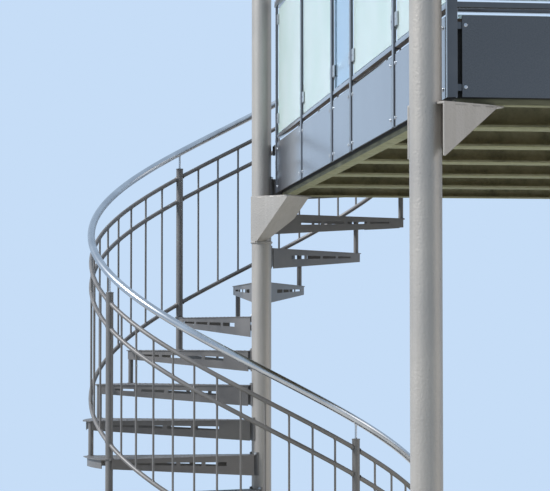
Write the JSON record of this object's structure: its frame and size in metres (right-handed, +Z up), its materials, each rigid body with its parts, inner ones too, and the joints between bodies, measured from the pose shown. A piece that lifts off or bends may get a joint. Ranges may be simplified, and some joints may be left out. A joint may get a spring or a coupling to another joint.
{
  "type": "spiral stair with balcony platform",
  "caption": "Open steel spiral stair winding up a tubular newel to a balcony platform on round posts, with glazed railing, fascia boards and a stainless handrail",
  "frame": {"origin": "middle of the underside of the newel's base plate, on the ground", "axes": "+X across the platform from the newel to the open side, +Y along the glazed side from the front post to the newel, +Z up"},
  "size_m": [3.5139, 6.1399, 4.2759],
  "materials": {
    "post_steel": "warm grey powder coat",
    "stair_steel": "warm grey powder coat",
    "stainless": "ground stainless steel",
    "frame_steel": "weathered, dull olive",
    "timber": "oiled hardwood boards, sawn joists",
    "fascia": "anthracite compact laminate, satin",
    "guard_steel": "dark grey powder coat",
    "frosted_glass": "frosted, pale mint",
    "clear_glass": "clear"
  },
  "bodies": {
    "root": {"newel": "post_steel", "newel_base": "post_steel", "front_post": "post_steel", "house_posts": "post_steel", "post_bases": "post_steel", "post_caps": "post_steel", "tread_01": "stair_steel", "tread_02": "stair_steel", "tread_03": "stair_steel", "tread_04": "stair_steel", "tread_05": "stair_steel", "tread_06": "stair_steel", "tread_07": "stair_steel", "tread_08": "stair_steel", "tread_09": "stair_steel", "tread_10": "stair_steel", "tread_11": "stair_steel", "tread_12": "stair_steel", "tread_13": "stair_steel", "tread_14": "stair_steel", "tread_15": "stair_steel", "spacers": "stair_steel", "stanchions": "stair_steel", "rail_pins": "stainless", "handrail": "stainless", "upper_rail": "stair_steel", "second_rail": "stair_steel", "lower_rail": "stair_steel", "balusters": "stair_steel", "landing_plate": "stair_steel", "edge_beams": "frame_steel", "cross_beams": "frame_steel", "joists": "timber", "deck_boards": "timber", "newel_bracket": "post_steel", "post_brackets": "post_steel", "fascia_panels": "fascia", "balcony_uprights": "guard_steel", "bottom_rails": "guard_steel", "top_rails": "guard_steel", "frosted_panes": "frosted_glass", "clear_pane": "clear_glass", "pane_clamps": "stainless", "balcony_handrail": "stainless"}
  },
  "joints": []
}
